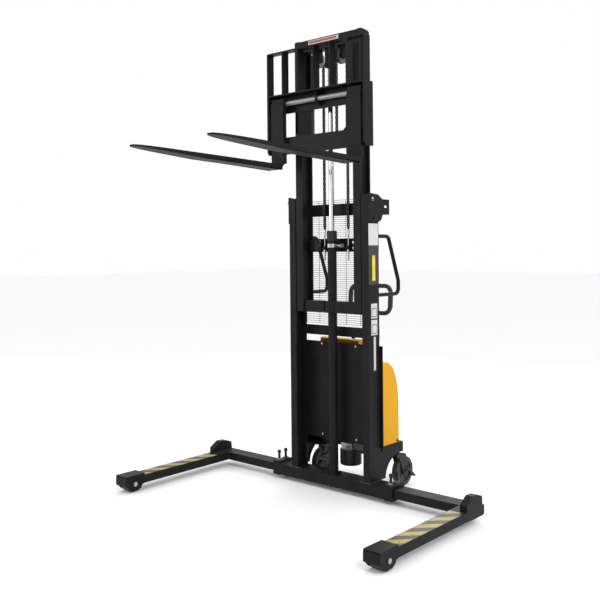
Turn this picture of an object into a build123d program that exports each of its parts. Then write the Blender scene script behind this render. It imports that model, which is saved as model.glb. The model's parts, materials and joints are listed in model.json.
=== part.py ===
from build123d import *
import os
from math import cos, radians, sin, sqrt

# Walkie straddle stacker, mast partly raised.  Millimetres, +Z up, the forks point to -Y.
# The origin is on the floor, in the middle of the footprint.  Every Y given below is counted
# from the front face of the base beam and mast, which lies MAST_Y behind the origin.

os.makedirs("parts", exist_ok=True)

# ---------------------------------------------------------------- driving dimensions
FORK_REACH = 1205.0  # fork tips ahead of the mast face
REAR_REACH = 480.0  # brake pedals behind the mast face
MAST_Y = (FORK_REACH - REAR_REACH) / 2
SIDES = (("left", -1), ("right", 1))

BEAM_HALF = 452.0  # base beam, half of its length
BEAM_DEPTH = 114.0
BEAM_BOTTOM = 28.0
BEAM_TOP = 96.0
COLLAR_WIDTH = 56.0
COLLAR_TOP = 111.0
COLLAR_PROUD = 5.0

LEG_OUTER = 968.0  # outer face of a straddle leg
LEG_WIDTH = 95.0
LEG_BOTTOM = 41.5
LEG_TOP = 90.5
LEG_WALL = 5.0
CROSS_TUBE = (8.0, 106.0)  # front and back of the cross tube inside the beam
CROSS_TUBE_END = 250.0  # inner end of the cross tube
SLIDE_GAP = 1.0  # cross tube to beam socket
LEG_FRONT = -832.0
LEG_TUBE_FRONT = -700.0
CORNER_BLOCK = 42.0
ROLLER_RADIUS = 48.5
ROLLER_Y = -761.0
ROLLER_WIDTH = 62.0
AXLE_RADIUS = 10.0

OUTER_HALF = 302.0  # outer mast, half of its width
OUTER_DEPTH = 102.0
OUTER_FLANGE = 48.0
OUTER_STEEL = 12.0
OUTER_TOP = 1756.0

INNER_HALF = 248.0  # inner mast, half of its width
INNER_FRONT = 2.0
INNER_BACK = 100.0
INNER_FLANGE = 53.0
INNER_STEEL = 11.0
INNER_WEB = (216.0, 226.0)
INNER_BOTTOM = 1063.0
INNER_TOP = 2713.0
BEAM_UNDER = 2650.0  # underside of the inner mast's top beam
MAST_AXIS_Y = 51.0  # line of the mast roller axles
OUTER_ROLLER_RADIUS = 38.7
INNER_ROLLER_RADIUS = 37.7
STUB_RADIUS = 12.0
RUNNING = 0.05  # radial clearance of a running fit
LOOSE = 0.2  # radial clearance of a fixed pin in its hole

CYLINDER_Y = 45.0
CYLINDER_RADIUS = 27.5
CYLINDER_BORE = 22.0
CYLINDER_TOP = 1490.0
GLAND_TOP = 1552.0
ROD_RADIUS = 17.0
PISTON_Z = 1090.0
ROD_TOP = 2560.0

PULLEY_X = 91.0
PULLEY_Y = 38.0
PULLEY_Z = 2590.0
GROOVE_RADIUS = 43.0
CHAIN_DEPTH = 15.0
CHAIN_WIDTH = 15.0
CHAIN_SEAT = 0.3  # chain to pulley groove
ANCHOR_TOP = 1560.0
CHAIN_END = 2090.0  # where the front run meets the carriage

CARRIAGE_HALF = 373.0
CARRIAGE_FRONT = -118.0
CARRIAGE_BACK = -38.0
CARRIAGE_BOTTOM = 2021.0
CARRIAGE_TOP = 2384.0
CARRIAGE_STEEL = 12.0
BACKREST_TOP = 2644.0
BACKREST_BAR = 8.0
BACKREST_DEPTH = 55.0
BACKREST_BARS = 7
SHAFT_Y = -76.0
SHAFT_Z = 2332.0
SHAFT_RADIUS = 15.0
UPPER_ROLLER_Z = 2300.0
LOWER_ROLLER_Z = 2118.0

FORK_X = 293.0  # middle of a fork
FORK_WIDTH = 100.0
FORK_FRONT = -115.0  # front face of the shank
FORK_SHANK = 30.0
FORK_TOP = 1957.0  # top of the blade at the heel
FORK_HEEL = 31.0  # thickness of the blade behind the taper
FORK_TIP = 9.0
FORK_RISE = 27.0  # the tips stand a little higher than the heels

FRAME_OUTER = 298.0  # rear frame side plates
FRAME_STEEL = 10.0
FRAME_REAR = 342.0
FRAME_TOP = 281.0
FLOOR = (226.0, 234.0)
PANEL_HALF = 322.0
PANEL = (102.0, 107.0)
PANEL_TOP = 876.0

COVER_HALF = 292.0
COVER_BOTTOM = 282.0
COVER_WALL = 4.0
HUMP_HALF = 150.0
HUMP_TOP = 900.0
CONSOLE_TILT = 50.0

CASTER_X = 262.0
CASTER_Y = 318.0  # swivel axis
CASTER_TRAIL = 66.0
CASTER_RADIUS = 88.0
CASTER_WIDTH = 40.0

TILLER_PIVOT = (360.0, 268.0)
TILLER_TOP = (432.0, 1208.0)
TILLER_HALF = 156.0
TILLER_LOOP = 171.0
TILLER_TUBE = 14.0


# ---------------------------------------------------------------- helpers
def keep(piece, label):
    """Name a finished piece and write it."""
    piece.part.label = label
    export_step(piece.part, f"parts/{label}.step")


def bar(x, y, z, mode=Mode.ADD):
    """A block between two values on each axis, Y counted from the mast face."""
    with Locations(((x[0] + x[1]) / 2, (y[0] + y[1]) / 2 + MAST_Y, (z[0] + z[1]) / 2)):
        Box(abs(x[1] - x[0]), abs(y[1] - y[0]), abs(z[1] - z[0]), mode=mode)


def rod(along, start, end, at, radius, mode=Mode.ADD):
    """A round bar from start to end along an axis; `at` is its place on the other two axes."""
    middle = (start + end) / 2
    place = {
        "X": ((middle, at[0] + MAST_Y, at[1]), (0, 90, 0)),
        "Y": ((at[0], middle + MAST_Y, at[1]), (90, 0, 0)),
        "Z": ((at[0], at[1] + MAST_Y, middle), (0, 0, 0)),
    }[along]
    with Locations(Location(*place)):
        Cylinder(radius, abs(end - start), mode=mode)


def side_plate(x, outline, mode=Mode.ADD):
    """A plate that stands along Y, between two X values; `outline` holds (y, z) corners."""
    with BuildSketch(Plane.YZ.offset(min(x))) as plate_sketch:
        with BuildLine():
            Polyline([(y + MAST_Y, z) for y, z in outline], close=True)
        make_face()
    extrude(plate_sketch.sketch, amount=abs(x[1] - x[0]), mode=mode)


def hex_along_z(x, y, start, end, radius):
    """A hexagon bolt head or nut that stands along Z."""
    with BuildSketch(Plane.XY.offset(start)) as hex_sketch:
        with Locations((x, y + MAST_Y)):
            RegularPolygon(radius, 6)
    extrude(hex_sketch.sketch, amount=end - start)


def both(side, near, far):
    """An X pair on the given side, from its distances to the middle plane."""
    return (side * near, side * far)


# ---------------------------------------------------------------- base beam and legs
with BuildPart() as base_beam:
    bar((-BEAM_HALF, BEAM_HALF), (0, BEAM_DEPTH), (BEAM_BOTTOM, BEAM_TOP))
    socket_y = (CROSS_TUBE[0] - SLIDE_GAP, CROSS_TUBE[1] + SLIDE_GAP)
    socket_z = (LEG_BOTTOM - SLIDE_GAP, LEG_TOP + SLIDE_GAP)
    bar((-BEAM_HALF, BEAM_HALF), socket_y, socket_z, Mode.SUBTRACT)
    SCREW_X = BEAM_HALF - COLLAR_WIDTH / 2 + 4
    SCREW_YS = (25.0, 85.0)
    SCREW_RADIUS = 8.0
    for side in (-1, 1):
        for y in SCREW_YS:
            rod("Z", LEG_TOP, BEAM_TOP + 1, (side * SCREW_X, y), SCREW_RADIUS + LOOSE, Mode.SUBTRACT)
keep(base_beam, "base_beam")

COLLAR = (BEAM_HALF - COLLAR_WIDTH + 4, BEAM_HALF + 4)
with BuildPart() as beam_collars:
    for side in (-1, 1):
        bar(both(side, *COLLAR), (-COLLAR_PROUD, BEAM_DEPTH + COLLAR_PROUD),
            (BEAM_BOTTOM - COLLAR_PROUD, COLLAR_TOP))
    bar((-BEAM_HALF, BEAM_HALF), (0, BEAM_DEPTH), (BEAM_BOTTOM, BEAM_TOP), Mode.SUBTRACT)
    bar((-BEAM_HALF - 5, BEAM_HALF + 5), socket_y, socket_z, Mode.SUBTRACT)
    for side in (-1, 1):
        for y in SCREW_YS:
            rod("Z", BEAM_TOP, COLLAR_TOP, (side * SCREW_X, y), SCREW_RADIUS + LOOSE, Mode.SUBTRACT)
keep(beam_collars, "beam_collars")

NUT_TOP = COLLAR_TOP + 11
SCREW_HEAD_Z = 163.0
for label, side in SIDES:
    for place, y in zip(("front", "rear"), SCREW_YS):
        with BuildPart() as clamp_screw:
            rod("Z", LEG_TOP + 0.5, SCREW_HEAD_Z, (side * SCREW_X, y), SCREW_RADIUS - RUNNING)
            with Locations((side * SCREW_X, y + MAST_Y, SCREW_HEAD_Z)):
                Sphere(12)
        keep(clamp_screw, f"{label}_{place}_clamp_screw")

LEG = (LEG_OUTER - LEG_WIDTH, LEG_OUTER)
HOUSING_TOP = (97.6, 102.5)
CHEEK = 8.0
CHEEK_OUTLINE = [(-690, 41.5), (-706, 37), (-718, 20), (-736, 9), (-784, 9), (-804, 22), (-818, 38),
                 (LEG_FRONT, 44), (LEG_FRONT, 94), (LEG_FRONT + 8, 102.5), (-690, 102.5)]
CORNER_OUTLINE = [(-80, 41.5), (-75, 124), (-16, 160), (38, 157), (84, 141), (94, 38), (-20, 38)]
for label, side in SIDES:
    with BuildPart() as leg:
        bar(both(side, CROSS_TUBE_END, LEG[1]), CROSS_TUBE, (LEG_BOTTOM, LEG_TOP))
        bar(both(side, *LEG), (LEG_TUBE_FRONT, CROSS_TUBE[1]), (LEG_BOTTOM, LEG_TOP))
        inner_z = (LEG_BOTTOM + LEG_WALL, LEG_TOP - LEG_WALL)
        inner_y = (CROSS_TUBE[0] + LEG_WALL, CROSS_TUBE[1] - LEG_WALL)
        bar(both(side, CROSS_TUBE_END, LEG[1] - LEG_WALL), inner_y, inner_z, Mode.SUBTRACT)
        bar(both(side, LEG[0] + LEG_WALL, LEG[1] - LEG_WALL),
            (LEG_TUBE_FRONT + LEG_WALL, inner_y[1]), inner_z, Mode.SUBTRACT)
        side_plate(both(side, LEG[0], LEG[0] + CHEEK), CHEEK_OUTLINE)
        side_plate(both(side, LEG[1] - CHEEK, LEG[1]), CHEEK_OUTLINE)
        bar(both(side, *LEG), (LEG_FRONT, -690), HOUSING_TOP)
        bar(both(side, *LEG), (LEG_TUBE_FRONT, -690), (LEG_TOP - LEG_WALL, HOUSING_TOP[1]))
        rod("X", side * LEG[0], side * LEG[1], (ROLLER_Y, ROLLER_RADIUS), AXLE_RADIUS + LOOSE, Mode.SUBTRACT)
        bar(both(side, *LEG), (LEG_FRONT, LEG_FRONT + 6), (44, 94))
        side_plate(both(side, LEG[1] - CORNER_BLOCK, LEG[1]), CORNER_OUTLINE)
    keep(leg, f"{label}_leg")

    with BuildPart() as leg_axle:
        rod("X", side * (LEG[0] - 4), side * (LEG[1] + 4), (ROLLER_Y, ROLLER_RADIUS), AXLE_RADIUS)
        rod("X", side * (LEG[1] + 0.3), side * (LEG[1] + 3), (ROLLER_Y, ROLLER_RADIUS), 13)
        rod("X", side * (LEG[0] - 3), side * (LEG[0] - 0.3), (ROLLER_Y, ROLLER_RADIUS), 13)
    keep(leg_axle, f"{label}_leg_axle")

    LEG_MIDDLE = LEG_OUTER - LEG_WIDTH / 2
    with BuildPart() as leg_roller:
        rod("X", side * (LEG_MIDDLE - ROLLER_WIDTH / 2), side * (LEG_MIDDLE + ROLLER_WIDTH / 2),
            (ROLLER_Y, ROLLER_RADIUS), ROLLER_RADIUS)
        chamfer(leg_roller.edges().filter_by(GeomType.CIRCLE), 3)
        rod("X", side * (LEG_MIDDLE - 38), side * (LEG_MIDDLE + 38), (ROLLER_Y, ROLLER_RADIUS), 18)
        rod("X", side * (LEG_MIDDLE - 39), side * (LEG_MIDDLE + 39), (ROLLER_Y, ROLLER_RADIUS),
            AXLE_RADIUS + RUNNING, Mode.SUBTRACT)
    keep(leg_roller, f"{label}_leg_roller")

# ---------------------------------------------------------------- outer mast
OUTER_POCKET = (OUTER_STEEL, OUTER_DEPTH - OUTER_STEEL)
TOP_ROLLER_Z = OUTER_TOP - 50
TOP_ROLLER = (228.5, 245.5)
for label, side in SIDES:
    with BuildPart() as outer_channel:
        bar(both(side, OUTER_HALF - OUTER_FLANGE, OUTER_HALF), (0, OUTER_DEPTH), (BEAM_TOP, OUTER_TOP))
        bar(both(side, OUTER_HALF - OUTER_FLANGE, OUTER_HALF - OUTER_STEEL), OUTER_POCKET,
            (BEAM_TOP, OUTER_TOP), Mode.SUBTRACT)
        rod("X", side * (TOP_ROLLER[0] - 0.5), side * (OUTER_HALF - 2), (MAST_AXIS_Y, TOP_ROLLER_Z), STUB_RADIUS)
    keep(outer_channel, f"{label}_outer_channel")

ANCHOR_Y = PULLEY_Y + GROOVE_RADIUS + CHAIN_SEAT + CHAIN_DEPTH / 2  # line of the chain's rear run
ANCHOR_BLOCK = (1438.0, 1462.0)
ANCHOR_RADIUS = 5.0
CROSSBARS = ((914.0, 974.0), (1425.0, 1504.0), (1643.0, 1716.0))
CROSSBAR = (OUTER_DEPTH, OUTER_DEPTH + 10)
with BuildPart() as outer_crossbars:
    for low, high in CROSSBARS:
        bar((-OUTER_HALF + 6, OUTER_HALF - 6), CROSSBAR, (low, high))
    for side in (-1, 1):
        bar(both(side, PULLEY_X - 11, PULLEY_X + 11), (ANCHOR_Y - 10, CROSSBAR[0]), ANCHOR_BLOCK)
        rod("Z", *ANCHOR_BLOCK, (side * PULLEY_X, ANCHOR_Y), ANCHOR_RADIUS + LOOSE, Mode.SUBTRACT)
keep(outer_crossbars, "outer_crossbars")

BRACKET_OUTLINE = [(0, 1600), (90, 1597), (118, 1606), (136, 1640), (202, 1642), (202, 1731),
                   (134, 1731), (90, 1757), (0, 1764)]
BRACKET = (OUTER_HALF, OUTER_HALF + 8)
with BuildPart() as mast_top_brackets:
    for side in (-1, 1):
        side_plate(both(side, *BRACKET), BRACKET_OUTLINE)
        with BuildSketch(Plane.YZ.offset(min(both(side, *BRACKET)))):
            with Locations((168 + MAST_Y, 1688)):
                SlotOverall(34, 13)
        extrude(amount=8, mode=Mode.SUBTRACT)
keep(mast_top_brackets, "mast_top_brackets")

with BuildPart() as outer_top_rollers:
    for side in (-1, 1):
        rod("X", side * TOP_ROLLER[0], side * TOP_ROLLER[1], (MAST_AXIS_Y, TOP_ROLLER_Z), INNER_ROLLER_RADIUS)
        rod("X", side * TOP_ROLLER[0], side * TOP_ROLLER[1], (MAST_AXIS_Y, TOP_ROLLER_Z),
            STUB_RADIUS + RUNNING, Mode.SUBTRACT)
keep(outer_top_rollers, "outer_top_rollers")

GUARD = (112.0, 115.0)
GUARD_Z = (985.0, 1740.0)
GUARD_HALF = 264.0
WIRE_PITCH = 13.0
WIRE_GAP = 10.4
GUARD_COLUMNS = 5
with BuildPart() as mesh_guard:
    wire_rows = int((GUARD_Z[1] - GUARD_Z[0] - 16) / WIRE_PITCH)
    column_pitch = (2 * GUARD_HALF - 14) / GUARD_COLUMNS
    with BuildSketch(Plane.XZ.offset(-MAST_Y - GUARD[1])):
        with Locations((0, (GUARD_Z[0] + GUARD_Z[1]) / 2)):
            Rectangle(2 * GUARD_HALF, GUARD_Z[1] - GUARD_Z[0])
            with GridLocations(column_pitch, WIRE_PITCH, GUARD_COLUMNS, wire_rows):
                Rectangle(column_pitch - 3, WIRE_GAP, mode=Mode.SUBTRACT)
    extrude(amount=GUARD[1] - GUARD[0])
keep(mesh_guard, "mesh_guard")

HANDLE_X = 278.0
HANDLE_ROUTE = [(OUTER_DEPTH, 1516), (232, 1516), (334, 1250), (334, 1171), (OUTER_DEPTH, 1171)]
HANDLE_RADIUS = 11.5
with BuildPart() as push_handles:
    for side in (-1, 1):
        handle_points = [(side * HANDLE_X, y + MAST_Y, z) for y, z in HANDLE_ROUTE]
        with BuildLine() as handle_line:
            FilletPolyline(*handle_points, radius=34)
        with BuildSketch(Plane(handle_line.line @ 0, z_dir=handle_line.line % 0)):
            Circle(HANDLE_RADIUS)
        sweep(path=handle_line.line)
keep(push_handles, "push_handles")

# ---------------------------------------------------------------- lift cylinder
with BuildPart() as cylinder_tube:
    rod("Z", BEAM_TOP, CYLINDER_TOP, (0, CYLINDER_Y), CYLINDER_RADIUS)
    bar((-32, 32), (CYLINDER_Y - 32, CYLINDER_Y + 32), (BEAM_TOP, BEAM_TOP + 12))
    rod("Z", BEAM_TOP + 16, CYLINDER_TOP, (0, CYLINDER_Y), CYLINDER_BORE, Mode.SUBTRACT)
keep(cylinder_tube, "cylinder_tube")

with BuildPart() as cylinder_gland:
    rod("Z", CYLINDER_TOP, GLAND_TOP, (0, CYLINDER_Y), CYLINDER_RADIUS + 3.5)
    chamfer(cylinder_gland.edges().filter_by(GeomType.CIRCLE).sort_by(Axis.Z)[-1], 3)
    rod("Z", CYLINDER_TOP, GLAND_TOP, (0, CYLINDER_Y), ROD_RADIUS + RUNNING, Mode.SUBTRACT)
keep(cylinder_gland, "cylinder_gland")

STRAP_Z = (1452.0, 1474.0)
STRAP_RADIUS = CYLINDER_RADIUS + LOOSE
with BuildPart() as cylinder_clamp:
    rod("Z", *STRAP_Z, (0, CYLINDER_Y), STRAP_RADIUS + 3)
    bar((-STRAP_RADIUS - 3, STRAP_RADIUS + 3), (CYLINDER_Y, OUTER_DEPTH), STRAP_Z)
    bar((-48, 48), (OUTER_DEPTH - 4, OUTER_DEPTH), STRAP_Z)
    rod("Z", *STRAP_Z, (0, CYLINDER_Y), STRAP_RADIUS, Mode.SUBTRACT)
    bar((-STRAP_RADIUS, STRAP_RADIUS), (CYLINDER_Y, OUTER_DEPTH - 4), STRAP_Z, Mode.SUBTRACT)
keep(cylinder_clamp, "cylinder_clamp")

with BuildPart() as piston_rod:
    rod("Z", PISTON_Z, ROD_TOP, (0, CYLINDER_Y), ROD_RADIUS)
    rod("Z", PISTON_Z, PISTON_Z + 30, (0, CYLINDER_Y), CYLINDER_BORE - RUNNING)
keep(piston_rod, "piston_rod")

# ---------------------------------------------------------------- inner mast
BOTTOM_ROLLER_Z = INNER_BOTTOM + 60
BOTTOM_ROLLER = (252.0, 287.0)
CAP_Z = (2692.0, 2722.0)
for label, side in SIDES:
    with BuildPart() as inner_beam:
        for y in ((INNER_FRONT, INNER_FRONT + INNER_STEEL), (INNER_BACK - INNER_STEEL, INNER_BACK)):
            bar(both(side, INNER_HALF - INNER_FLANGE, INNER_HALF), y, (INNER_BOTTOM, INNER_TOP))
        bar(both(side, *INNER_WEB), (INNER_FRONT, INNER_BACK), (INNER_BOTTOM, INNER_TOP))
        rod("X", side * INNER_WEB[0], side * (BOTTOM_ROLLER[1] + 0.5), (MAST_AXIS_Y, BOTTOM_ROLLER_Z), STUB_RADIUS)
        side_plate(both(side, INNER_WEB[1], INNER_HALF),
                   [(INNER_FRONT, CAP_Z[0]), (INNER_BACK, CAP_Z[0]), (INNER_BACK, CAP_Z[1] - 14),
                    (INNER_BACK - 14, CAP_Z[1] - 4), (34, CAP_Z[1]), (18, CAP_Z[1]),
                    (INNER_FRONT, INNER_TOP)])
    keep(inner_beam, f"{label}_inner_beam")

PULLEY_PLATE = ((69.0, 77.0), (105.0, 113.0))
with BuildPart() as inner_top_beam:
    inner_edge = INNER_HALF - INNER_FLANGE
    bar((-INNER_WEB[0], INNER_WEB[0]), (INNER_FRONT + INNER_STEEL, INNER_BACK - INNER_STEEL),
        (BEAM_UNDER, INNER_TOP))
    bar((-INNER_WEB[0], INNER_WEB[0]), (INNER_FRONT + INNER_STEEL + 6, INNER_BACK - INNER_STEEL - 6),
        (BEAM_UNDER + 6, INNER_TOP - 6), Mode.SUBTRACT)
    bar((-inner_edge, inner_edge), (INNER_FRONT, INNER_FRONT + INNER_STEEL), (BEAM_UNDER - 6, INNER_TOP))
    for side in (-1, 1):
        for plate in PULLEY_PLATE:
            bar(both(side, *plate), (PULLEY_Y - 20, PULLEY_Y + 20), (PULLEY_Z - 18, BEAM_UNDER + 1))
        rod("X", side * PULLEY_PLATE[0][0], side * PULLEY_PLATE[1][1], (PULLEY_Y, PULLEY_Z), AXLE_RADIUS)
    bar((-24, 24), (CYLINDER_Y - 24, CYLINDER_Y + 24), (ROD_TOP - 30, BEAM_UNDER + 1))
    rod("Z", ROD_TOP - 31, ROD_TOP, (0, CYLINDER_Y), ROD_RADIUS + LOOSE, Mode.SUBTRACT)
keep(inner_top_beam, "inner_top_beam")

BUMP_RADIUS = CYLINDER_RADIUS + 13
with BuildPart() as inner_bottom_bar:
    bottom_z = (INNER_BOTTOM, INNER_BOTTOM + 70)
    bar((-INNER_WEB[0], -BUMP_RADIUS), (INNER_FRONT + INNER_STEEL, INNER_FRONT + INNER_STEEL + 10), bottom_z)
    bar((BUMP_RADIUS, INNER_WEB[0]), (INNER_FRONT + INNER_STEEL, INNER_FRONT + INNER_STEEL + 10), bottom_z)
    rod("Z", *bottom_z, (0, CYLINDER_Y), BUMP_RADIUS + 6)
    bar((-60, 60), (INNER_FRONT + INNER_STEEL + 10, 110), bottom_z, Mode.SUBTRACT)
    rod("Z", *bottom_z, (0, CYLINDER_Y), BUMP_RADIUS, Mode.SUBTRACT)
keep(inner_bottom_bar, "inner_bottom_bar")

with BuildPart() as inner_bottom_rollers:
    for side in (-1, 1):
        rod("X", side * BOTTOM_ROLLER[0], side * BOTTOM_ROLLER[1], (MAST_AXIS_Y, BOTTOM_ROLLER_Z), OUTER_ROLLER_RADIUS)
        rod("X", side * BOTTOM_ROLLER[0], side * BOTTOM_ROLLER[1], (MAST_AXIS_Y, BOTTOM_ROLLER_Z),
            STUB_RADIUS + RUNNING, Mode.SUBTRACT)
keep(inner_bottom_rollers, "inner_bottom_rollers")

# ---------------------------------------------------------------- chains
PULLEY_HALF = 10.0
with BuildPart() as chain_pulleys:
    for side in (-1, 1):
        x = both(side, PULLEY_X - PULLEY_HALF, PULLEY_X + PULLEY_HALF)
        rod("X", *x, (PULLEY_Y, PULLEY_Z), GROOVE_RADIUS)
        for rim in ((PULLEY_X - PULLEY_HALF, PULLEY_X - 8), (PULLEY_X + 8, PULLEY_X + PULLEY_HALF)):
            rod("X", *both(side, *rim), (PULLEY_Y, PULLEY_Z), GROOVE_RADIUS + 7)
        rod("X", *x, (PULLEY_Y, PULLEY_Z), AXLE_RADIUS + RUNNING, Mode.SUBTRACT)
keep(chain_pulleys, "chain_pulleys")

chain_inner = GROOVE_RADIUS + CHAIN_SEAT
chain_outer = chain_inner + CHAIN_DEPTH
CHAIN_X = (PULLEY_X - CHAIN_WIDTH / 2, PULLEY_X + CHAIN_WIDTH / 2)
FRONT_RUN = (PULLEY_Y - chain_outer, PULLEY_Y - chain_inner)
REAR_RUN = (PULLEY_Y + chain_inner, PULLEY_Y + chain_outer)
with BuildPart() as front_chain_runs:
    for side in (-1, 1):
        rod("X", *both(side, *CHAIN_X), (PULLEY_Y, PULLEY_Z), chain_outer)
    bar((-PULLEY_X - 20, PULLEY_X + 20), (FRONT_RUN[0] - 1, REAR_RUN[1] + 1), (PULLEY_Z - 80, PULLEY_Z), Mode.SUBTRACT)
    rod("X", -PULLEY_X - 20, PULLEY_X + 20, (PULLEY_Y, PULLEY_Z), chain_inner, Mode.SUBTRACT)
    for side in (-1, 1):
        bar(both(side, *CHAIN_X), FRONT_RUN, (CHAIN_END, PULLEY_Z))
keep(front_chain_runs, "front_chain_runs")

with BuildPart() as rear_chain_runs:
    for side in (-1, 1):
        bar(both(side, *CHAIN_X), REAR_RUN, (ANCHOR_TOP, PULLEY_Z))
keep(rear_chain_runs, "rear_chain_runs")

with BuildPart() as chain_anchors:
    for side in (-1, 1):
        rod("Z", 1372, ANCHOR_TOP, (side * PULLEY_X, ANCHOR_Y), ANCHOR_RADIUS)
        hex_along_z(side * PULLEY_X, ANCHOR_Y, ANCHOR_BLOCK[0] - 8, ANCHOR_BLOCK[0], 9)
        hex_along_z(side * PULLEY_X, ANCHOR_Y, ANCHOR_BLOCK[0] - 18, ANCHOR_BLOCK[0] - 10, 9)
        bar(both(side, PULLEY_X - 5, PULLEY_X + 5), (ANCHOR_Y - 5.5, ANCHOR_Y + 5.5), (ANCHOR_TOP - 30, ANCHOR_TOP))
keep(chain_anchors, "chain_anchors")

# ---------------------------------------------------------------- fork carriage
LOWER_PLATE = (-83.0, -69.0)
UPPER_PLATE = (-48.0, CARRIAGE_BACK)
LOWER_PLATE_TOP = 2124.0
UPPER_PLATE_BOTTOM = 2276.0
CARRIAGE_INSIDE = CARRIAGE_HALF - CARRIAGE_STEEL
SHAFT_END = CARRIAGE_INSIDE + 6  # the shaft sits in blind holes of the side plates
CARRIAGE_OUTLINE = [(CARRIAGE_FRONT, 2036), (-104, CARRIAGE_BOTTOM), (CARRIAGE_BACK, CARRIAGE_BOTTOM),
                    (CARRIAGE_BACK, CARRIAGE_TOP), (CARRIAGE_FRONT, CARRIAGE_TOP)]
ROLLER_PLATE = (178.0, 190.0)
ROLLER_PLATE_OUTLINE = [(-70, 2078), (72, 2078), (80, 2090), (80, 2330), (68, 2345), (-40, 2345), (-40, 2150),
                        (-70, 2122)]
CARRIAGE_ROLLER = (194.5, 211.5)
SHAFT_SUPPORT = [(-44, 2290), (-98, 2308), (-98, 2350), (-88, CARRIAGE_TOP - 4), (-44, CARRIAGE_TOP - 4)]
with BuildPart() as carriage_frame:
    for side in (-1, 1):
        side_plate(both(side, CARRIAGE_INSIDE, CARRIAGE_HALF), CARRIAGE_OUTLINE)
        side_plate(both(side, *ROLLER_PLATE), ROLLER_PLATE_OUTLINE)
        for z in (LOWER_ROLLER_Z, UPPER_ROLLER_Z):
            rod("X", side * ROLLER_PLATE[0], side * (CARRIAGE_ROLLER[1] + 0.5), (MAST_AXIS_Y, z), STUB_RADIUS)
        bar(both(side, PULLEY_X - 12, PULLEY_X + 12), (LOWER_PLATE[1], FRONT_RUN[1] + 3),
            (CHAIN_END - 34, CHAIN_END))
    bar((-CARRIAGE_INSIDE, CARRIAGE_INSIDE), LOWER_PLATE, (CARRIAGE_BOTTOM, LOWER_PLATE_TOP))
    bar((-CARRIAGE_INSIDE, CARRIAGE_INSIDE), UPPER_PLATE, (UPPER_PLATE_BOTTOM, CARRIAGE_TOP))
    bar((-CARRIAGE_HALF, CARRIAGE_HALF), (CARRIAGE_FRONT, CARRIAGE_BACK), (CARRIAGE_TOP - 8, CARRIAGE_TOP))
    side_plate((-6, 6), SHAFT_SUPPORT)
    rod("X", -SHAFT_END, SHAFT_END, (SHAFT_Y, SHAFT_Z), SHAFT_RADIUS + LOOSE, Mode.SUBTRACT)
keep(carriage_frame, "carriage_frame")

with BuildPart() as backrest:
    backrest_y = (CARRIAGE_FRONT, CARRIAGE_FRONT + BACKREST_DEPTH)
    bar_pitch = (2 * CARRIAGE_HALF - BACKREST_BAR) / (BACKREST_BARS - 1)
    for index in range(BACKREST_BARS):
        x = -CARRIAGE_HALF + index * bar_pitch
        bar((x, x + BACKREST_BAR), backrest_y, (CARRIAGE_TOP, BACKREST_TOP - 4))
    bar((-CARRIAGE_HALF, CARRIAGE_HALF), backrest_y, (BACKREST_TOP - BACKREST_BAR, BACKREST_TOP))
    top_ends = backrest.edges().filter_by(Axis.Y).group_by(Axis.Z)[-1]
    fillet(top_ends, 7)
keep(backrest, "backrest")

with BuildPart() as fork_shaft:
    rod("X", -SHAFT_END + 0.5, SHAFT_END - 0.5, (SHAFT_Y, SHAFT_Z), SHAFT_RADIUS)
keep(fork_shaft, "fork_shaft")

for name, z in (("upper", UPPER_ROLLER_Z), ("lower", LOWER_ROLLER_Z)):
    with BuildPart() as carriage_rollers:
        for side in (-1, 1):
            rod("X", side * CARRIAGE_ROLLER[0], side * CARRIAGE_ROLLER[1], (MAST_AXIS_Y, z), INNER_ROLLER_RADIUS)
            rod("X", side * CARRIAGE_ROLLER[0], side * CARRIAGE_ROLLER[1], (MAST_AXIS_Y, z),
                STUB_RADIUS + RUNNING, Mode.SUBTRACT)
    keep(carriage_rollers, f"carriage_{name}_rollers")

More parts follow.
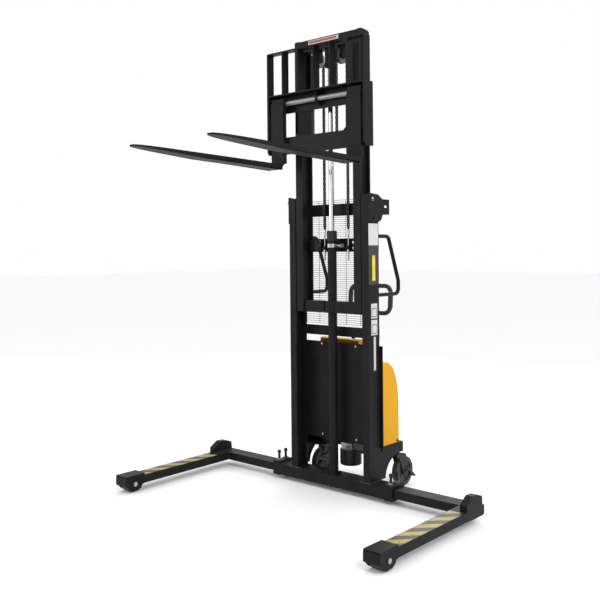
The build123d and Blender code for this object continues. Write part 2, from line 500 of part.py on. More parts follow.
# ---------------------------------------------------------------- forks
FORK_HOOK = 26.0
TIP_Y = -FORK_REACH
HEEL_RADIUS = 38.0
TIP_CURVE = ((51, 260), (48, 150), (43, 80), (35, 32), (24, 8), (12, -1))  # half width, distance from the tip
for label, side in SIDES:
    fork_left = side * FORK_X - FORK_WIDTH / 2
    with BuildPart() as fork:
        shank_back = FORK_FRONT + FORK_SHANK
        with BuildSketch(Plane.YZ.offset(fork_left)):
            with BuildLine():
                blade_end = (TIP_Y + MAST_Y, FORK_TOP + FORK_RISE)
                heel_out = (shank_back + MAST_Y, FORK_TOP - FORK_HEEL + HEEL_RADIUS)
                heel_low = (shank_back - HEEL_RADIUS + MAST_Y, FORK_TOP - FORK_HEEL)
                Polyline(blade_end, (FORK_FRONT - 7 + MAST_Y, FORK_TOP + 0.4), (FORK_FRONT + MAST_Y, FORK_TOP + 7),
                         (FORK_FRONT + MAST_Y, SHAFT_Z), (shank_back + MAST_Y, SHAFT_Z), heel_out)
                RadiusArc(heel_out, heel_low, -HEEL_RADIUS)
                Polyline(heel_low, (-760 + MAST_Y, FORK_TOP - FORK_HEEL + 19),
                         (TIP_Y + MAST_Y, FORK_TOP + FORK_RISE - FORK_TIP), blade_end)
            make_face()
        extrude(amount=FORK_WIDTH)
        rod("X", fork_left, fork_left + FORK_WIDTH, (SHAFT_Y, SHAFT_Z), FORK_HOOK)
        bar((fork_left, fork_left + FORK_WIDTH), (FORK_FRONT + 6, SHAFT_Y), (SHAFT_Z - 20, SHAFT_Z + FORK_HOOK))
        rod("X", fork_left, fork_left + FORK_WIDTH, (SHAFT_Y, SHAFT_Z), SHAFT_RADIUS + RUNNING, Mode.SUBTRACT)
        for edge in (-1, 1):
            with BuildSketch(Plane.XY.offset(FORK_TOP - FORK_HEEL - 5)):
                with BuildLine():
                    corner = (side * FORK_X + edge * (FORK_WIDTH / 2 + 1), TIP_Y - 1 + MAST_Y)
                    curve = [(side * FORK_X + edge * half, TIP_Y + back + MAST_Y) for half, back in TIP_CURVE]
                    Polyline(corner, *curve, close=True)
                make_face()
            extrude(amount=120, mode=Mode.SUBTRACT)
    keep(fork, f"{label}_fork")

# ---------------------------------------------------------------- rear frame
ARCH_LENGTH = 158.0
ARCH_HEIGHT = 125.0
LUG = (14.0, 22.0)
UNIT_GAP = ((-150.0, 82.0), (112.0, 256.0))  # opening in the floor for the hydraulic unit
with BuildPart() as chassis_frame:
    for side in (-1, 1):
        bar(both(side, FRAME_OUTER - FRAME_STEEL, FRAME_OUTER), (OUTER_DEPTH, FRAME_REAR), (BEAM_TOP, FRAME_TOP))
        with BuildSketch(Plane.YZ.offset(side * 293 - 8)):
            with Locations((CASTER_Y + MAST_Y, BEAM_TOP)):
                Ellipse(ARCH_LENGTH, ARCH_HEIGHT)
        extrude(amount=16, mode=Mode.SUBTRACT)
    bar((-FRAME_OUTER + 2, FRAME_OUTER - 2), (PANEL[1] + 5, FRAME_REAR), FLOOR)
    bar(*UNIT_GAP, (FLOOR[0] - 1, FLOOR[1] + 1), Mode.SUBTRACT)
    bar((-FRAME_OUTER + 2, FRAME_OUTER - 2), (FRAME_REAR - 6, FRAME_REAR), (FLOOR[0], FRAME_TOP))
    for side in (-1, 1):
        side_plate(both(side, *LUG), [(FRAME_REAR - 2, 236), (368, 240), (376, 262), (376, 280), (360, 288),
                                      (FRAME_REAR - 2, 281)])
    rod("X", -30, 30, TILLER_PIVOT, 8 + LOOSE, Mode.SUBTRACT)
keep(chassis_frame, "chassis_frame")

with BuildPart() as back_panel:
    bar((-PANEL_HALF, PANEL_HALF), PANEL, (COVER_BOTTOM, PANEL_TOP))
    with BuildSketch(Plane.XZ.offset(-MAST_Y - PANEL[1])):
        with Locations((0, PANEL_TOP - 14)):
            with GridLocations(2 * PANEL_HALF - 70, 0, 2, 1):
                Circle(4)
    extrude(amount=8, mode=Mode.SUBTRACT)
keep(back_panel, "back_panel")


def cover_outline(inset):
    """Side outline of the cover, made smaller by `inset` except at the open front and bottom."""
    front = PANEL[1] - inset
    return [(front, COVER_BOTTOM - inset), (312 - inset, COVER_BOTTOM - inset), (312 - inset, 540),
            (302 - inset, 620 - inset * 0.5), (284 - inset, 680 - inset * 0.6),
            (256 - inset * 0.8, 734 - inset * 0.8), (212 - inset * 0.4, 768 - inset), (front, 772 - inset)]


def hump_outline(inset):
    """Side outline of the raised middle with its sloping control face."""
    front = PANEL[1] - inset
    slope_end = 236 - inset * 1.3
    return [(front, 700), (front, HUMP_TOP - inset), (150 - inset * 0.5, HUMP_TOP - inset),
            (slope_end, 798 - inset * 0.2), (slope_end, 700)]


# the sloping face that carries the controls
tilt = radians(CONSOLE_TILT)
console_face = Plane(origin=(0, MAST_Y + 193, 849.3), x_dir=(1, 0, 0), z_dir=(0, sin(tilt), cos(tilt)))
CONSOLE_PLATE = 5.0
KEY_X = -86.0
STOP_X = 86.0
LEVER_X = 0.0
SWITCH_BORE = 9.0

with BuildPart() as power_cover:
    side_plate((-COVER_HALF, COVER_HALF), cover_outline(0))
    fillet(power_cover.edges().filter_by(lambda e: abs(e.center().X) > COVER_HALF - 1
                                         and e.center().Y > MAST_Y + PANEL[1] + 2
                                         and e.center().Z > COVER_BOTTOM + 2), 9)
    side_plate((-HUMP_HALF, HUMP_HALF), hump_outline(0))
    side_plate((-COVER_HALF + COVER_WALL, COVER_HALF - COVER_WALL), cover_outline(COVER_WALL), Mode.SUBTRACT)
    side_plate((-HUMP_HALF + COVER_WALL, HUMP_HALF - COVER_WALL), hump_outline(COVER_WALL), Mode.SUBTRACT)
    with BuildSketch(console_face.offset(-2 * COVER_WALL)):
        with Locations((KEY_X, 0), (STOP_X, 0)):
            Circle(SWITCH_BORE + 1)
    extrude(amount=2 * COVER_WALL + 1, mode=Mode.SUBTRACT)
keep(power_cover, "power_cover")

# ---------------------------------------------------------------- controls on the sloping face
with BuildPart() as control_console:
    with BuildSketch(console_face.offset(0.6)):
        RectangleRounded(260, 104, 10)
        with Locations((LEVER_X, 0)):
            SlotOverall(50, 18, rotation=90, mode=Mode.SUBTRACT)
        with Locations((KEY_X, 0), (STOP_X, 0)):
            Circle(SWITCH_BORE, mode=Mode.SUBTRACT)
    extrude(amount=CONSOLE_PLATE)
keep(control_console, "control_console")

with BuildPart() as key_switch:
    with BuildSketch(console_face.offset(1)):
        with Locations((KEY_X, 0)):
            Circle(SWITCH_BORE - RUNNING)
    extrude(amount=12)
    with BuildSketch(console_face.offset(13)):
        with Locations((KEY_X, 0)):
            SlotOverall(24, 5)
    extrude(amount=16)
keep(key_switch, "key_switch")

STOP_TRAVEL = 5.0
with BuildPart() as stop_button:
    with BuildSketch(console_face.offset(1)):
        with Locations((STOP_X, 0)):
            Circle(SWITCH_BORE - RUNNING)
    extrude(amount=14)
    with BuildSketch(console_face.offset(CONSOLE_PLATE + 0.6 + STOP_TRAVEL + 1)):
        with Locations((STOP_X, 0)):
            Circle(20)
    extrude(amount=10, taper=12)
keep(stop_button, "stop_button")

with BuildPart() as lift_lever:
    with Locations(console_face.offset(6) * Location((LEVER_X, 0, 0))):
        Cylinder(4, 14, rotation=(0, 90, 0))
    with BuildSketch(console_face.offset(4)):
        with Locations((LEVER_X, 0)):
            Circle(4)
    extrude(amount=62)
    with Locations(console_face * Location((LEVER_X, 0, 72))):
        Sphere(13)
keep(lift_lever, "lift_lever")

# ---------------------------------------------------------------- power unit and battery
UNIT_X = 20.0
UNIT_Y = 186.0
with BuildPart() as pump_motor:
    rod("Z", 262, 420, (UNIT_X, UNIT_Y), 48)
    rod("Z", 420, 428, (UNIT_X, UNIT_Y), 40)
    rod("X", UNIT_X - 34, UNIT_X + 34, (UNIT_Y, 432), 5.5)
keep(pump_motor, "pump_motor")

with BuildPart() as pump_block:
    bar((UNIT_X - 42, UNIT_X + 42), (UNIT_Y - 42, UNIT_Y + 42), (222, 261.5))
    rod("Y", UNIT_Y - 62, UNIT_Y - 42, (UNIT_X + 14, 240), 9)
    rod("X", UNIT_X - 58, UNIT_X - 42, (UNIT_Y, 240), 11)
keep(pump_block, "pump_block")

with BuildPart() as hydraulic_tank:
    rod("Z", 128, 221.5, (UNIT_X, UNIT_Y), 66)
    fillet(hydraulic_tank.edges().filter_by(GeomType.CIRCLE).sort_by(Axis.Z)[0], 10)
    rod("Z", 118, 130, (UNIT_X - 16, UNIT_Y), 8)
    rod("Z", 118, 130, (UNIT_X + 20, UNIT_Y), 8)
keep(hydraulic_tank, "hydraulic_tank")

with BuildPart() as battery:
    bar((90, 274), (126, 292), (FLOOR[1] + 0.5, 430))
    bar((94, 270), (130, 288), (430, 440))
    rod("Z", 440, 456, (116, 146), 8)
    rod("Z", 440, 456, (248, 146), 8)
keep(battery, "battery")

HOSE_RADIUS = 8.0
HOSE_ROUTE = [(UNIT_X - 58, UNIT_Y, 240), (-128, UNIT_Y, 240), (-128, 140, 180), (-128, CYLINDER_Y, 168),
              (-CYLINDER_RADIUS - 0.3, CYLINDER_Y, 168)]
hose_points = [(x, y + MAST_Y, z) for x, y, z in HOSE_ROUTE]
with BuildPart() as hydraulic_hose:
    with BuildLine() as hose_line:
        FilletPolyline(*hose_points, radius=26)
    with BuildSketch(Plane(hose_line.line @ 0, z_dir=hose_line.line % 0)):
        Circle(HOSE_RADIUS)
    sweep(path=hose_line.line)
keep(hydraulic_hose, "hydraulic_hose")

# ---------------------------------------------------------------- tiller
lean_y = TILLER_TOP[0] - TILLER_PIVOT[0]
lean_z = TILLER_TOP[1] - TILLER_PIVOT[1]
tiller_length = sqrt(lean_y**2 + lean_z**2)


def on_tiller(x, along):
    """A point of the tiller's leaning plane, `along` counted from the pivot."""
    share = along / tiller_length
    return (x, TILLER_PIVOT[0] + MAST_Y + share * lean_y, TILLER_PIVOT[1] + share * lean_z)


loop_low = tiller_length - TILLER_LOOP
with BuildPart() as tiller_arm:
    with BuildLine() as arm_line:
        Line(on_tiller(0, 10), on_tiller(0, loop_low))
    with BuildSketch(Plane(arm_line.line @ 0, z_dir=arm_line.line % 0)):
        Circle(13)
    sweep(path=arm_line.line)
    for side in (-1, 1):
        with BuildLine() as loop_line:
            FilletPolyline(on_tiller(0, loop_low), on_tiller(side * TILLER_HALF, loop_low),
                           on_tiller(side * TILLER_HALF, tiller_length), on_tiller(0, tiller_length), radius=45)
        with BuildSketch(Plane(loop_line.line @ 0, z_dir=loop_line.line % 0)):
            Circle(TILLER_TUBE)
        sweep(path=loop_line.line)
    rod("X", -13, 13, TILLER_PIVOT, 17)
    rod("X", -14, 14, TILLER_PIVOT, 8 + RUNNING, Mode.SUBTRACT)
keep(tiller_arm, "tiller_arm")

# ---------------------------------------------------------------- casters
RACE = (207.0, 220.0)
PLATE_HALF = 24.0
with BuildPart() as caster_plates:
    for side in (-1, 1):
        bar((side * CASTER_X - PLATE_HALF, side * CASTER_X + PLATE_HALF),
            (CASTER_Y - PLATE_HALF, CASTER_Y + PLATE_HALF), (RACE[1], FLOOR[0]))
        rod("Z", *RACE, (side * CASTER_X, CASTER_Y), 22)
        rod("Z", 190, RACE[0], (side * CASTER_X, CASTER_Y), 6)
        rod("Z", 188, 197.5, (side * CASTER_X, CASTER_Y), 10)
keep(caster_plates, "caster_plates")

FORK_PLATE = (22.0, 27.0)
FORK_PLATE_OUTLINE = [(-26, 206.5), (32, 206.5), (64, 196), (86, 150), (94, 96), (86, 66), (48, 64),
                      (32, 100), (0, 176), (-26, 190)]
PEDAL_PIVOT = (80.0, 112.0)
PEDAL_ARM = (28.0, 32.0)
PEDAL_OUTLINE = [(70, 118), (84, 122), (94, 108), (160, 48), (160, 40), (146, 40), (74, 100)]
PEDAL_REACH = REAR_REACH - CASTER_Y
BOLT_RADIUS = 6.0


def behind_swivel(side, points):
    """Turn distances behind the swivel axis into Y; the left caster stands turned to the front."""
    return [(CASTER_Y + side * y, z) for y, z in points]


for label, side in SIDES:
    x = side * CASTER_X
    axle_at = behind_swivel(side, [(CASTER_TRAIL, CASTER_RADIUS)])[0]
    pivot_at = behind_swivel(side, [PEDAL_PIVOT])[0]
    with BuildPart() as caster_fork:
        for turn in (-1, 1):
            side_plate((x + turn * FORK_PLATE[0], x + turn * FORK_PLATE[1]), behind_swivel(side, FORK_PLATE_OUTLINE))
        bar((x - FORK_PLATE[1], x + FORK_PLATE[1]), (CASTER_Y - side * 26, CASTER_Y + side * 30), (198, 206.5))
        rod("Z", 190, 210, (x, CASTER_Y), BOLT_RADIUS + RUNNING, Mode.SUBTRACT)
        rod("X", x - 30, x + 30, axle_at, BOLT_RADIUS)
        rod("X", x - 35, x - FORK_PLATE[1], axle_at, 10)
        rod("X", x + FORK_PLATE[1], x + 35, axle_at, 10)
        for turn in (-1, 1):
            rod("X", x + turn * FORK_PLATE[0], x + turn * PEDAL_ARM[1], pivot_at, 4)
    keep(caster_fork, f"{label}_caster_fork")

    with BuildPart() as caster_wheel:
        rod("X", x - CASTER_WIDTH / 2, x + CASTER_WIDTH / 2, axle_at, CASTER_RADIUS)
        fillet(caster_wheel.edges().filter_by(GeomType.CIRCLE), 7)
        for turn in (-1, 1):
            rod("X", x + turn * 13, x + turn * 21, axle_at, 62, Mode.SUBTRACT)
        rod("X", x - 21, x + 21, axle_at, 20)
        rod("X", x - 22, x + 22, axle_at, BOLT_RADIUS + RUNNING, Mode.SUBTRACT)
    keep(caster_wheel, f"{label}_caster_wheel")

    with BuildPart() as brake_pedal:
        for turn in (-1, 1):
            side_plate((x + turn * PEDAL_ARM[0], x + turn * PEDAL_ARM[1]), behind_swivel(side, PEDAL_OUTLINE))
        bar((x - PEDAL_ARM[1], x + PEDAL_ARM[1]), (CASTER_Y + side * 151, CASTER_Y + side * PEDAL_REACH), (40, 48))
        for turn in (-1, 1):
            rod("X", x + turn * (PEDAL_ARM[0] - 1), x + turn * (PEDAL_ARM[1] + 1), pivot_at, 4 + RUNNING,
                Mode.SUBTRACT)
            rod("X", x + turn * PEDAL_ARM[0], x + turn * (PEDAL_ARM[1] + 1), axle_at, 18, Mode.SUBTRACT)
    keep(brake_pedal, f"{label}_brake_pedal")

# ---------------------------------------------------------------- fasteners
with BuildPart() as fasteners:
    for side in (-1, 1):
        for y in SCREW_YS:
            hex_along_z(side * SCREW_X, y, COLLAR_TOP, NUT_TOP, 15)
            rod("Z", COLLAR_TOP, NUT_TOP, (side * SCREW_X, y), SCREW_RADIUS, Mode.SUBTRACT)
        rod("Y", PANEL[0] - 5, PANEL[0], (side * 130, PANEL_TOP - 14), 6)
        rod("Y", PANEL[0] - 5, PANEL[0], (side * 130, COVER_BOTTOM + 24), 6)
        for z in (1448, 1482):
            for x in (120, 178):
                rod("Y", OUTER_DEPTH - 5, OUTER_DEPTH, (side * x, z), 7)
    rod("X", -24, 24, TILLER_PIVOT, 8)
    for side in (-1, 1):
        rod("X", side * (LUG[1] + 0.3), side * (LUG[1] + 5), TILLER_PIVOT, 12)
keep(fasteners, "fasteners")
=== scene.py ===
import json
import math

import bmesh
import bpy
from mathutils import Matrix, Vector


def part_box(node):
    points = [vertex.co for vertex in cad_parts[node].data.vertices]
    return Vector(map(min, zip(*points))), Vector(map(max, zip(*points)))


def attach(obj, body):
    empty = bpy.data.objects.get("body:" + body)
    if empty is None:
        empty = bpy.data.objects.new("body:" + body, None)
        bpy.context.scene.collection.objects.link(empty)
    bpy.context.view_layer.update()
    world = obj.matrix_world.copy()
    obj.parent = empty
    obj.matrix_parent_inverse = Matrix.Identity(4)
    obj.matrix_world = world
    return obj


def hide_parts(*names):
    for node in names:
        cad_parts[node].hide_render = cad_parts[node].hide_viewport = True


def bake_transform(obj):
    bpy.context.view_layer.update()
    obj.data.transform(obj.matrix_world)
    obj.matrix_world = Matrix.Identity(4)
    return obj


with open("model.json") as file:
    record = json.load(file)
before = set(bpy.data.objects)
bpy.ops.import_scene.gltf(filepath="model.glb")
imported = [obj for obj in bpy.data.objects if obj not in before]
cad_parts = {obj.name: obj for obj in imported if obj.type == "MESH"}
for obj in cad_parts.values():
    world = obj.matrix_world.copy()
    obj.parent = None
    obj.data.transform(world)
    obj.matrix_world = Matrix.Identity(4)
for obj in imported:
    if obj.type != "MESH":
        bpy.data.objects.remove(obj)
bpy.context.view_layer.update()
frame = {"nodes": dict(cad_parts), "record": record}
MM = 0.001
SIDES = (("left", -1), ("right", 1))


def box_of(node):
    low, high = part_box(node)
    return Vector(low), Vector(high)


# ------------------------------------------------------------------ materials
def surface(name, colour, rough, metallic=0.0, second=None, patch=7.0, bump=0.0, grain=350.0, spread=0.08,
            shine=0.5, coat=0.0, stretch=(1, 1, 1), dust_and_sheen=0.0):
    """A procedural finish: uneven colour and roughness, fine relief, and a light grey on upward faces that is
    partly dust and partly a painted highlight of light falling from above.
    """
    mat = bpy.data.materials.new(name)
    mat.use_nodes = True
    tree = mat.node_tree
    new = tree.nodes.new
    link = tree.links.new
    shader = tree.nodes["Principled BSDF"]
    shader.inputs["Metallic"].default_value = metallic
    shader.inputs["Specular IOR Level"].default_value = shine
    shader.inputs["Coat Weight"].default_value = coat
    shader.inputs["Coat Roughness"].default_value = 0.12
    coords = new("ShaderNodeTexCoord")
    mapping = new("ShaderNodeMapping")
    mapping.inputs["Scale"].default_value = stretch
    link(coords.outputs["Object"], mapping.inputs["Vector"])

    def noise(scale, detail):
        node = new("ShaderNodeTexNoise")
        node.inputs["Scale"].default_value = scale
        node.inputs["Detail"].default_value = detail
        link(mapping.outputs["Vector"], node.inputs["Vector"])
        return node.outputs["Fac"]

    def mix(factor, a, b):
        node = new("ShaderNodeMix")
        node.data_type = "RGBA"
        link(factor, node.inputs["Factor"])
        for socket, value in ((node.inputs["A"], a), (node.inputs["B"], b)):
            if isinstance(value, tuple):
                socket.default_value = (*value, 1)
            else:
                link(value, socket)
        return node.outputs["Result"]

    def ramp(value, low, high):
        node = new("ShaderNodeMapRange")
        node.inputs["From Min"].default_value = low
        node.inputs["From Max"].default_value = high
        link(value, node.inputs["Value"])
        return node.outputs["Result"]

    patches = ramp(noise(patch, 5), 0.35, 0.65)
    shade = mix(patches, colour, second or tuple(c * 0.75 for c in colour))
    # upward faces mixed towards light grey: partly dust, partly a painted highlight where light falls on top
    # faces
    if dust_and_sheen:
        geometry = new("ShaderNodeNewGeometry")
        split = new("ShaderNodeSeparateXYZ")
        link(geometry.outputs["Normal"], split.inputs[0])
        upward = ramp(split.outputs["Z"], 0.4, 1.0)
        dust_and_sheen_weight = new("ShaderNodeMath")
        dust_and_sheen_weight.operation = "MULTIPLY"
        link(upward, dust_and_sheen_weight.inputs[0])
        dust_and_sheen_weight.inputs[1].default_value = dust_and_sheen
        shade = mix(dust_and_sheen_weight.outputs[0], shade, (0.32, 0.31, 0.3))
    link(shade, shader.inputs["Base Color"])
    uneven = new("ShaderNodeMapRange")
    uneven.inputs["To Min"].default_value = rough - spread
    uneven.inputs["To Max"].default_value = rough + spread
    link(noise(patch * 4, 6), uneven.inputs["Value"])
    link(uneven.outputs["Result"], shader.inputs["Roughness"])
    if bump:
        relief = new("ShaderNodeBump")
        relief.inputs["Strength"].default_value = bump
        relief.inputs["Distance"].default_value = 0.0006
        link(noise(grain, 3), relief.inputs["Height"])
        link(relief.outputs["Normal"], shader.inputs["Normal"])
    return mat


def striped(name, first, second, period, slope):
    """Diagonal bands across X and Y."""
    mat = surface(name, first, 0.42, patch=18, bump=0.1, grain=240)
    tree = mat.node_tree
    shader = tree.nodes["Principled BSDF"]
    coords = tree.nodes.new("ShaderNodeTexCoord")
    split = tree.nodes.new("ShaderNodeSeparateXYZ")
    tree.links.new(coords.outputs["Object"], split.inputs[0])
    run = tree.nodes.new("ShaderNodeMath")
    run.operation = "MULTIPLY_ADD"
    tree.links.new(split.outputs["X"], run.inputs[0])
    run.inputs[1].default_value = slope
    tree.links.new(split.outputs["Y"], run.inputs[2])
    wrap = tree.nodes.new("ShaderNodeMath")
    wrap.operation = "FLOORED_MODULO"
    tree.links.new(run.outputs[0], wrap.inputs[0])
    wrap.inputs[1].default_value = period
    over = tree.nodes.new("ShaderNodeMath")
    over.operation = "GREATER_THAN"
    tree.links.new(wrap.outputs[0], over.inputs[0])
    over.inputs[1].default_value = period / 2
    old = shader.inputs["Base Color"].links[0].from_socket
    band = tree.nodes.new("ShaderNodeMix")
    band.data_type = "RGBA"
    tree.links.new(over.outputs[0], band.inputs["Factor"])
    tree.links.new(old, band.inputs["A"])
    band.inputs["B"].default_value = (*second, 1)
    tree.links.new(band.outputs["Result"], shader.inputs["Base Color"])
    return mat


BLACK = (0.009, 0.009, 0.0105)
finish = {
    "frame_paint": surface("FramePaint", BLACK, 0.45, second=(0.006, 0.006, 0.007), bump=0.16, grain=520,
                           shine=0.11, dust_and_sheen=0.015),
    "fork_paint": surface("ForkPaint", (0.009, 0.009, 0.010), 0.5, second=(0.006, 0.006, 0.007), bump=0.22,
                          grain=380, shine=0.11, dust_and_sheen=0.015),
    "cover_plastic": surface("CoverYellow", (0.64, 0.32, 0.006), 0.45, second=(0.60, 0.30, 0.005), patch=3,
                             bump=0.1, grain=600, shine=0.15),
    "black_plastic": surface("BlackPlastic", (0.014, 0.014, 0.014), 0.55, bump=0.4, grain=900),
    "red_plastic": surface("RedPlastic", (0.55, 0.012, 0.01), 0.3, patch=20, bump=0.05, grain=500, coat=0.3),
    "battery_plastic": surface("BatteryCase", (0.03, 0.03, 0.033), 0.5, bump=0.25, grain=500),
    "hose_rubber": surface("HoseRubber", (0.012, 0.012, 0.012), 0.6, bump=0.5, grain=700),
    "dark_steel": surface("DarkSteel", (0.012, 0.012, 0.013), 0.42, bump=0.2, grain=420, shine=0.25),
    "cast_alloy": surface("CastAlloy", (0.42, 0.42, 0.41), 0.45, metallic=0.9, bump=0.5, grain=260),
    "zinc_steel": surface("ZincSteel", (0.46, 0.46, 0.44), 0.34, metallic=1.0, second=(0.36, 0.36, 0.34),
                          patch=40, bump=0.12, grain=600),
    "shaft_steel": surface("GroundSteel", (0.27, 0.275, 0.28), 0.4, metallic=0.6, second=(0.22, 0.225, 0.23),
                           stretch=(1, 60, 60), patch=9, bump=0.1, grain=90),
    "bearing_steel": surface("BearingSteel", (0.16, 0.16, 0.155), 0.36, metallic=0.9, patch=30, bump=0.1,
                             grain=500),
    "chain_steel": surface("ChainSteel", (0.035, 0.034, 0.032), 0.36, metallic=0.7,
                           second=(0.02, 0.019, 0.018), patch=90, bump=0.15, grain=900),
    "chrome_rod": surface("ChromeRod", (0.72, 0.72, 0.73), 0.12, metallic=1.0, second=(0.66, 0.66, 0.67),
                          spread=0.04, stretch=(1, 1, 0.05), patch=25, bump=0.02, grain=300),
    "roller_nylon": surface("RollerBlack", (0.02, 0.02, 0.021), 0.5, patch=30, bump=0.2, grain=500,
                            dust_and_sheen=0.08),
    "caster_nylon": surface("CasterTread", (0.016, 0.016, 0.016), 0.5, patch=25, bump=0.3, grain=450,
                            dust_and_sheen=0.1),
    "pedal_steel": surface("PedalSteel", (0.014, 0.014, 0.0145), 0.45, patch=25, bump=0.2, grain=450,
                           shine=0.25),
}
slots = {row["node"]: row["material_slot"] for row in frame["record"]["subparts"]}
for node, item in frame["nodes"].items():
    chosen = finish[slots[node]]
    if not item.material_slots:
        item.data.materials.append(chosen)
    for entry in item.material_slots:
        entry.material = chosen

# rounded edges that catch the light, as modifiers on the CAD nodes
BEVELLED = {
    "base_beam": 4, "left_leg": 3, "right_leg": 3, "left_outer_channel": 2.5, "right_outer_channel": 2.5,
    "left_inner_beam": 2.5, "right_inner_beam": 2.5, "inner_top_beam": 1.5, "carriage_frame": 1.5,
    "backrest": 1,
    "left_fork": 3, "right_fork": 3, "chassis_frame": 1.5, "power_cover": 1.2, "beam_collars": 2.5,
    "outer_crossbars": 1.5, "mast_top_brackets": 1.2, "inner_bottom_bar": 1.5, "back_panel": 0.8,
    "control_console": 1, "battery": 3, "left_caster_fork": 1, "right_caster_fork": 1,
}
for node, width in BEVELLED.items():
    item = frame["nodes"][node]
    weld = item.modifiers.new("join", "WELD")
    weld.merge_threshold = 0.00002
    bevel = item.modifiers.new("edges", "BEVEL")
    bevel.width = width * MM
    bevel.segments = 3
    bevel.limit_method = "ANGLE"
    bevel.angle_limit = math.radians(40)
    bevel.harden_normals = True
    bevel.use_clamp_overlap = True


# ------------------------------------------------------------------ mesh helpers
def piece(name, mesh, body, mat, smooth=True, soften=0.0):
    """A new visible piece that rides on a CAD body, or on none if it is blended later."""
    item = bpy.data.objects.new(name, mesh)
    bpy.context.scene.collection.objects.link(item)
    mesh.materials.append(mat)
    for polygon in mesh.polygons:
        polygon.use_smooth = smooth
    if soften:
        bevel = item.modifiers.new("edges", "BEVEL")
        bevel.width = soften
        bevel.segments = 2
        bevel.limit_method = "ANGLE"
        bevel.angle_limit = math.radians(35)
        bevel.harden_normals = True
    if body:
        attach(item, body)
    return item


def finished(bm, name):
    bmesh.ops.recalc_face_normals(bm, faces=bm.faces)
    mesh = bpy.data.meshes.new(name)
    bm.to_mesh(mesh)
    bm.free()
    return mesh


def add_prism(bm, outline, thickness, place):
    """A closed plate from a flat outline in local XY; its thickness runs along local Z around the middle."""
    half = thickness / 2
    low = [bm.verts.new(place @ Vector((x, y, -half))) for x, y in outline]
    high = [bm.verts.new(place @ Vector((x, y, half))) for x, y in outline]
    count = len(outline)
    bm.faces.new(list(reversed(low)))
    bm.faces.new(high)
    for i in range(count):
        j = (i + 1) % count
        bm.faces.new((low[i], low[j], high[j], high[i]))


def circle(radius, count, turn=0.0):
    return [(radius * math.cos(2 * math.pi * i / count + turn),
             radius * math.sin(2 * math.pi * i / count + turn))
            for i in range(count)]


def add_tube(bm, points, radius, sides=10, ripple=None):
    """A closed round tube through points; ripple(i) changes the radius along it."""
    rings = []
    last = len(points) - 1
    for i, point in enumerate(points):
        ahead = (points[min(i + 1, last)] - points[max(i - 1, 0)]).normalized()
        across = ahead.orthogonal().normalized()
        if abs(ahead.z) < 0.95:
            across = ahead.cross(Vector((0, 0, 1))).normalized()
        other = ahead.cross(across)
        size = radius * (ripple(i) if ripple else 1)
        rings.append([bm.verts.new(point + across * (size * x) + other * (size * y)) for x,
                      y in circle(1, sides)])
    for a, b in zip(rings, rings[1:]):
        for i in range(sides):
            j = (i + 1) % sides
            bm.faces.new((a[i], a[j], b[j], b[i]))
    bm.faces.new(list(reversed(rings[0])))
    bm.faces.new(rings[-1])


def along(axis, centre):
    """Local Z of a prism along X, Y or Z, at a centre."""
    turn = {"X": Matrix(((0, 0, 1), (1, 0, 0), (0, 1, 0))), "Y": Matrix(((1, 0, 0), (0, 0, 1), (0, -1, 0))),
            "Z": Matrix.Identity(3)}[axis]
    return Matrix.Translation(centre) @ turn.to_4x4()


# ------------------------------------------------------------------ chains
PITCH = 15.875 * MM
PLATE_HEIGHT = 12.6 * MM


def link_outline():
    """Side view of one chain plate: two round ends and a waist."""
    points = []
    radius = PLATE_HEIGHT / 2
    for centre, start in ((PITCH / 2, -64), (-PITCH / 2, 116)):
        for step in range(7):
            angle = math.radians(start + step * 128 / 6)
            points.append((centre + radius * math.cos(angle), radius * math.sin(angle)))
    return points


LINK = link_outline()


def add_chain(bm, x, path):
    """Leaf chain plates and pins that follow joints given as (y, z)."""
    for index, (here, there) in enumerate(zip(path, path[1:])):
        a, b = Vector((0, *here)), Vector((0, *there))
        middle = (a + b) / 2
        direction = (b - a).normalized()
        side = Vector((1, 0, 0)).cross(direction)
        turn = Matrix((direction, side, Vector((1, 0, 0)))).transposed().to_4x4()
        offsets = (-6.3, 6.3) if index % 2 else (-4.1, 0, 4.1)
        stretch = (b - a).length / PITCH
        outline = [(u * stretch, v) for u, v in LINK]
        for offset in offsets:
            spot = Matrix.Translation(Vector((x + offset * MM, middle.y, middle.z)))
            add_prism(bm, outline, 1.9 * MM, spot @ turn)
    for here in path:
        add_prism(bm, circle(2.4 * MM, 8), 14.8 * MM, along("X", Vector((x, *here))))


pulley_low, pulley_high = box_of("chain_pulleys")
rear_low, rear_high = box_of("rear_chain_runs")
front_low = box_of("front_chain_runs")[0]
pulley_y = (pulley_low.y + pulley_high.y) / 2
pulley_z = (pulley_low.z + pulley_high.z) / 2
rear_y = (rear_low.y + rear_high.y) / 2
wrap_radius = rear_y - pulley_y
chain_x = (rear_high.x - 7.5 * MM)
front_run = pulley_z - front_low.z
front_links = round(front_run / PITCH)
arc_links = round(math.pi * wrap_radius / PITCH)
rear_links = round((pulley_z - rear_low.z) / PITCH)
front_path = [(pulley_y - wrap_radius, front_low.z + 6 * MM + (front_run - 6 * MM) * i / front_links)
              for i in range(front_links)]
front_path += [(pulley_y - wrap_radius * math.cos(math.pi * i / arc_links),
                pulley_z + wrap_radius * math.sin(math.pi * i / arc_links)) for i in range(arc_links + 1)]
rear_path = [(rear_y, rear_low.z + 6 * MM + (pulley_z - rear_low.z - 6 * MM) * i / rear_links)
             for i in range(rear_links + 1)]
front_bm, rear_bm = bmesh.new(), bmesh.new()
for sign in (-1, 1):
    add_chain(front_bm, sign * chain_x, front_path)
    add_chain(rear_bm, sign * chain_x, rear_path)
front_chain = piece("FrontLeafChains", finished(front_bm, "FrontLeafChains"), None, finish["chain_steel"],
                    smooth=False)
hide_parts("front_chain_runs")
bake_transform(front_chain)
rear_chain = piece("RearLeafChains", finished(rear_bm, "RearLeafChains"), None, finish["chain_steel"],
                   smooth=False)
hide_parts("rear_chain_runs")
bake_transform(rear_chain)

